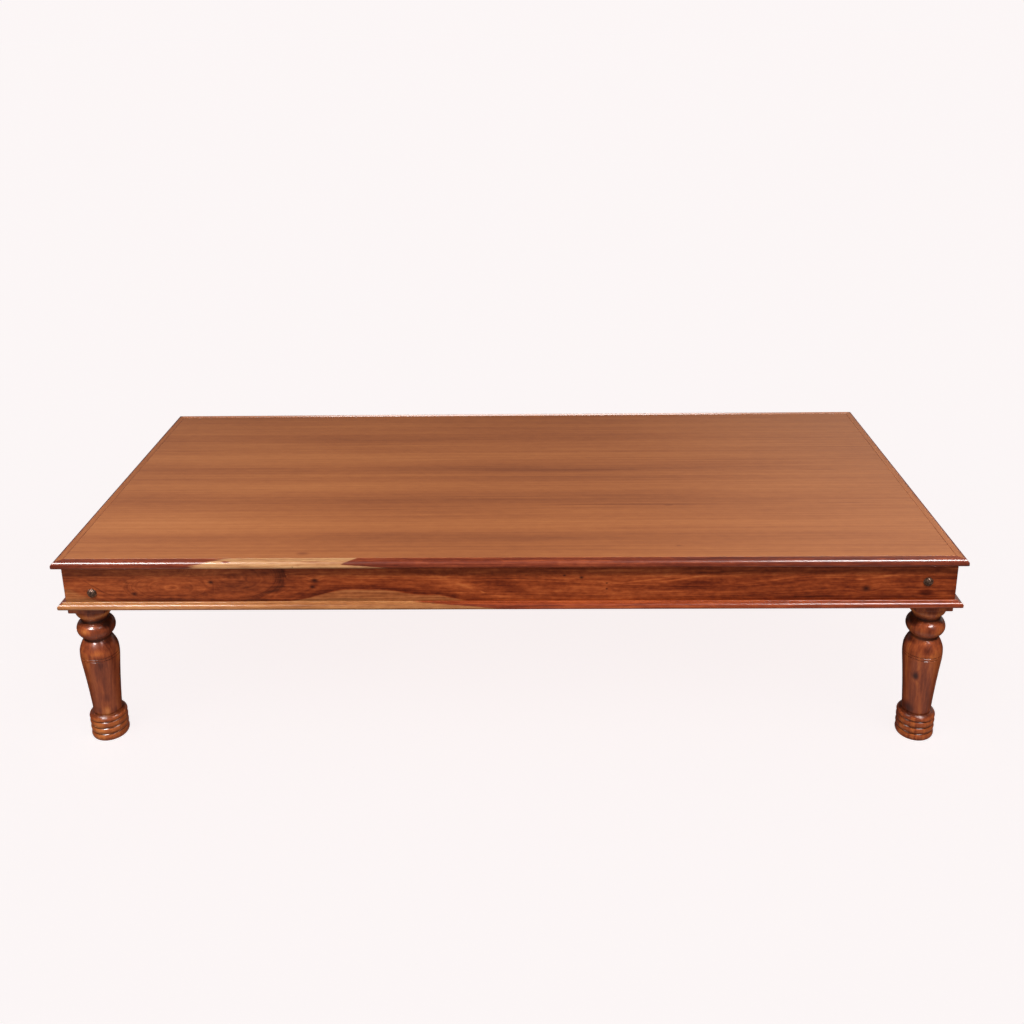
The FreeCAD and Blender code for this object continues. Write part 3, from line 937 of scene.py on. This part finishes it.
# Legs: the grain runs up them
legs = {
    # a patch or knot has its height, then its place in X and Y from the leg's axis; some patches
    # are painted shade and painted bounce light
    "front_left": {
        "seed": 13.0,
        "centre": (-0.932, -0.3995, 0.0),
        "pith": (0.03, 0.045),
        "toneAndShadePatches": [
            ((0.285, -0.008, -0.038), (0.012, 0.016, 0.020), 0.34),
            # painted shade on the ball's inner upper side
            ((0.293, 0.034, -0.018), (0.012, 0.020, 0.030), -0.36),
            # painted shade on the vase's inner shoulder
            ((0.248, 0.033, -0.016), (0.010, 0.016, 0.024), -0.24),
            # painted bounce light: the cup under the moulding made lighter all round
            ((0.318, 0.0, 0.0), (0.015, 0.09, 0.09), 0.56),
            ((0.321, 0.033, -0.021), (0.008, 0.010, 0.015), 0.16),
            ((0.228, 0.012, -0.040), (0.014, 0.024, 0.025), 0.26),
            ((0.222, 0.034, -0.025), (0.012, 0.014, 0.020), 0.14),
            ((0.204, 0.0425, 0.003), (0.040, 0.008, 0.020), 0.24),
            ((0.197, 0.0163, -0.039), (0.020, 0.012, 0.020), -0.16),
            ((0.152, 0.0150, -0.035), (0.050, 0.010, 0.020), -0.20),
            ((0.108, 0.0133, -0.031), (0.018, 0.012, 0.020), -0.16),
            ((0.156, -0.008, -0.038), (0.060, 0.012, 0.020), 0.08),
            ((0.072, 0.0102, -0.030), (0.020, 0.011, 0.016), 0.36),
            ((0.075, -0.007, -0.031), (0.014, 0.010, 0.014), -0.16),
            ((0.070, 0.024, -0.020), (0.014, 0.010, 0.014), -0.16),
            ((0.024, 0.0, -0.040), (0.050, 0.060, 0.060), 0.30),
        ],
    },
    "front_right": {
        "seed": 14.0,
        "centre": (0.932, -0.3995, 0.0),
        "pith": (-0.05, 0.06),
        "toneAndShadePatches": [
            # painted shade on the ball's inner upper side
            ((0.293, -0.036, -0.012), (0.012, 0.020, 0.030), -0.42),
            # painted shade on the vase's inner shoulder
            ((0.246, -0.034, -0.014), (0.010, 0.016, 0.024), -0.36),
            ((0.286, 0.0, -0.040), (0.014, 0.030, 0.030), -0.10),
            ((0.167, -0.0217, -0.0323), (0.018, 0.011, 0.014), -0.25),
            ((0.218, -0.001, -0.042), (0.008, 0.022, 0.025), 0.08),
            ((0.234, -0.005, -0.040), (0.014, 0.030, 0.030), -0.20),
            # painted bounce light: the cup under the moulding made lighter all round
            ((0.318, 0.0, 0.0), (0.015, 0.09, 0.09), 0.32),
            ((0.180, -0.0235, -0.033), (0.014, 0.010, 0.014), -0.08),
            ((0.073, -0.029, -0.017), (0.026, 0.019, 0.022), -0.46),
            ((0.024, 0.0, -0.040), (0.050, 0.060, 0.060), 0.14),
        ],
        "knots": [((0.1640, -0.0217, -0.0323), 0.0085)],
    },
    "back_right": {"seed": 15.0, "centre": (0.932, 0.3995, 0.0), "pith": (0.04, -0.05)},
    "back_left": {"seed": 16.0, "centre": (-0.932, 0.3995, 0.0), "pith": (-0.03, -0.06)},
}
legTimber = {
    "axes": "ZXY",
    "sway": (3.0, 14.0, 14.0),
    "swayAmount": 14.0,
    "band": 16.0,
    "bandShare": 0.45,
    "line": 3.2,
    "lineShare": 0.25,
    "streakShare": 0.45,
    "mottleShare": 0.15,
    "heart": [
        (0.14, paint(60, 21, 12)),
        (0.30, paint(88, 36, 20)),
        (0.44, paint(118, 53, 29)),
        (0.56, paint(140, 66, 34)),
        (0.72, paint(168, 89, 43)),
        (0.90, paint(190, 112, 58)),
    ],
    # painted shade in the necks under the cup and ball, the ring grooves, the ankle and the foot's
    # grooves
    "paintedShadeCreases": [
        (0.302, 0.008, 0.85),
        (0.2555, 0.007, 0.8),
        (0.2141, 0.0014, 0.7),
        (0.2080, 0.0014, 0.7),
        (0.0620, 0.006, 0.6),
        (0.0475, 0.0024, 0.8),
        (0.0314, 0.0024, 0.8),
        (0.0159, 0.0024, 0.8),
    ],
    "rough": 0.3,
    "coatFade": ("along", 0.060, 0.068, 0.45, 0.9),
    "coatRough": 0.22,
    "wave": 0.00004,
}
for corner, leg in legs.items():
    material = woodMaterial("leg" + corner.title().replace("_", ""), {**legTimber, **leg})
    dress("leg_" + corner, material)
print("legs dressed")


# Frame wood under the board
sawn = {
    "lean": 0.3,
    "band": 16.0,
    "bandShare": 0.5,
    "line": 3.4,
    "heart": [
        (0.28, paint(150, 108, 72)),
        (0.45, paint(184, 140, 98)),
        (0.6, paint(204, 164, 120)),
        (0.75, paint(218, 184, 142)),
    ],
    "rough": 0.7,
    "coat": 0.0,
    "wave": 0.0001,
    "relief": 0.0003,
}
frameParts = (
    ("ledger_front", "XZY"),
    ("ledger_back", "XZY"),
    ("end_cleat_left", "YZX"),
    ("end_cleat_right", "YZX"),
    ("bearer_1", "YZX"),
    ("bearer_2", "YZX"),
    ("bearer_3", "YZX"),
    ("bearer_4", "YZX"),
)
for seed, (part, axes) in enumerate(frameParts, start=17):
    changes = {**sawn, "seed": float(seed), "axes": axes}
    dress(part, woodMaterial(part.title().replace("_", ""), changes))
print("frame wood dressed")


# Metal
def metalMaterial(name, metal):
    material, place = newMaterial(name)
    worn = noise(place, (metal["scale"],) * 3, detail=3.0, rough=0.6)
    dents = noise(place, (metal["dentScale"],) * 3, detail=1.0)
    dented = {"Height": dents, "Distance": metal["dentDepth"], "Strength": 1.0}
    inputs = {
        "Base Color": ramp(worn, metal["colours"]),
        "Metallic": metal["metallic"],
        "Roughness": worn * metal["roughSpread"] + metal["rough"],
        "Normal": place.node("ShaderNodeBump", {}, dented),
    }
    finishMaterial(place, place.node("ShaderNodeBsdfPrincipled", {}, inputs))
    return material


bronze = {
    "scale": 260.0,
    "colours": [
        (0.35, paint(64, 43, 34)),
        (0.55, paint(96, 70, 56)),
        (0.7, paint(130, 104, 88)),
    ],
    "dentScale": 320.0,
    "dentDepth": 0.00012,
    "metallic": 0.6,
    "rough": 0.26,
    "roughSpread": 0.3,
}
steel = {
    "scale": 500.0,
    "colours": [
        (0.35, paint(150, 150, 146)),
        (0.6, paint(190, 190, 186)),
        (0.75, paint(214, 214, 208)),
    ],
    "dentScale": 600.0,
    "dentDepth": 0.00005,
    "metallic": 1.0,
    "rough": 0.2,
    "roughSpread": 0.3,
}
bronzeMaterial = metalMaterial("antiqueBronze", bronze)
steelMaterial = metalMaterial("zincSteel", steel)
for corner in legs:
    dress("leg_bolts_" + corner, bronzeMaterial)
    dress("leg_washers_" + corner, steelMaterial)
    dress("leg_nuts_" + corner, steelMaterial)
for kind in ("panel", "bearer", "cleat"):
    dress(kind + "_screws", steelMaterial)
print("metal dressed")
